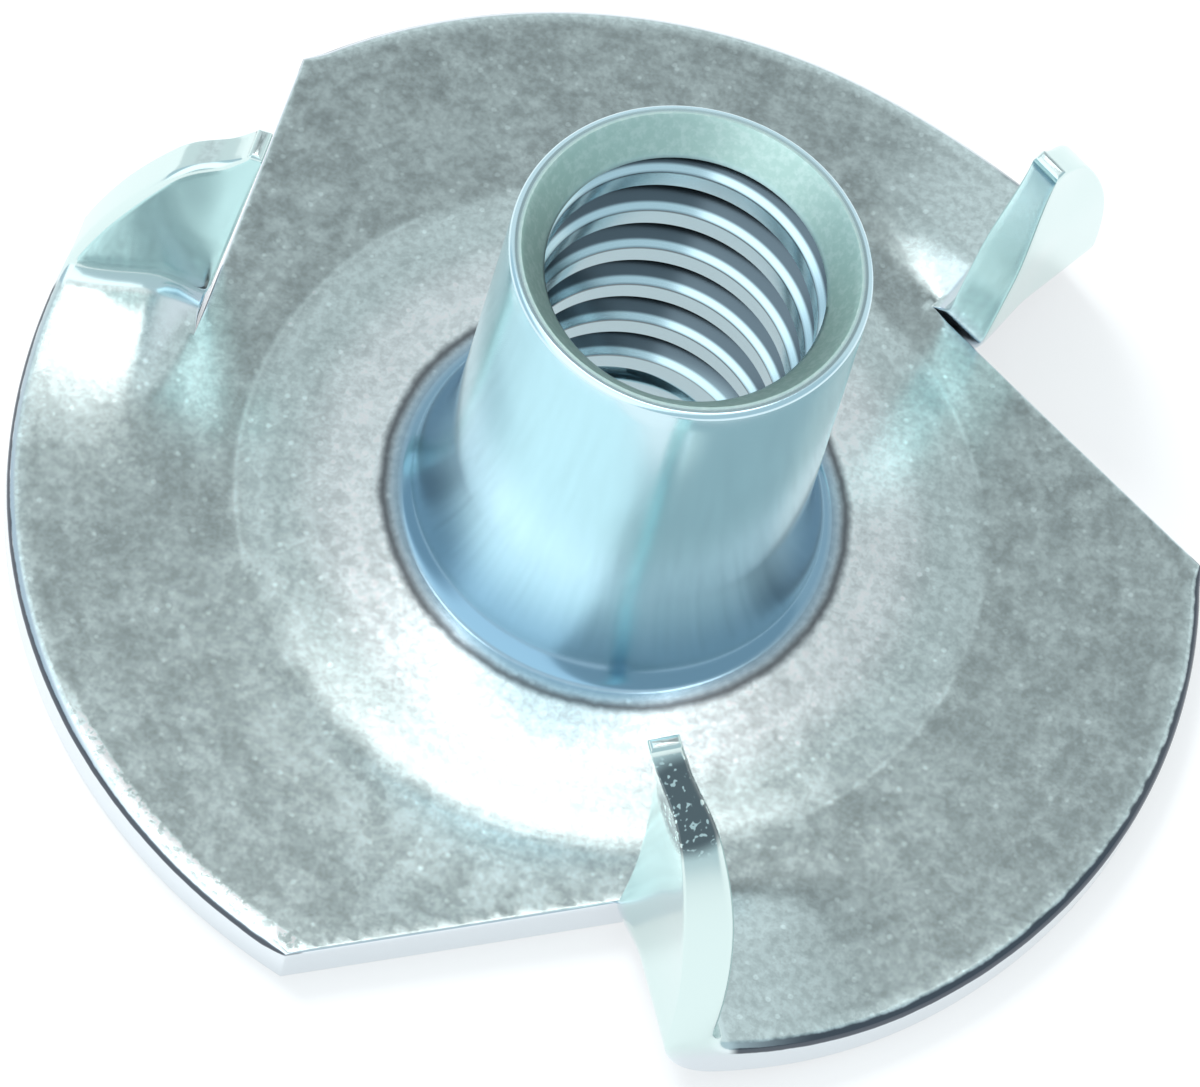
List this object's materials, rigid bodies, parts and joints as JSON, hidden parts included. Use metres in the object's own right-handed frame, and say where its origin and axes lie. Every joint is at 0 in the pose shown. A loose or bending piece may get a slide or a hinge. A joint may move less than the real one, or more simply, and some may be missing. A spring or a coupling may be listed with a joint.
{
  "type": "tee nut",
  "caption": "Pressed steel tee nut: a round flange with upright prongs bent from its rim and a threaded barrel drawn up from its centre.",
  "frame": {"origin": "on the barrel's axis, in the plane of the flange's underside", "axes": "+Z along the barrel, from the flange to the mouth; +X and +Y lie in the flange's plane, with the first prong at 60 degrees from +X"},
  "size_m": [0.019, 0.0187, 0.0082],
  "materials": {
    "zinc_plate": "bright zinc plate, faint blue-green tint"
  },
  "bodies": {
    "root": {"tee_nut": "zinc_plate"}
  },
  "joints": []
}
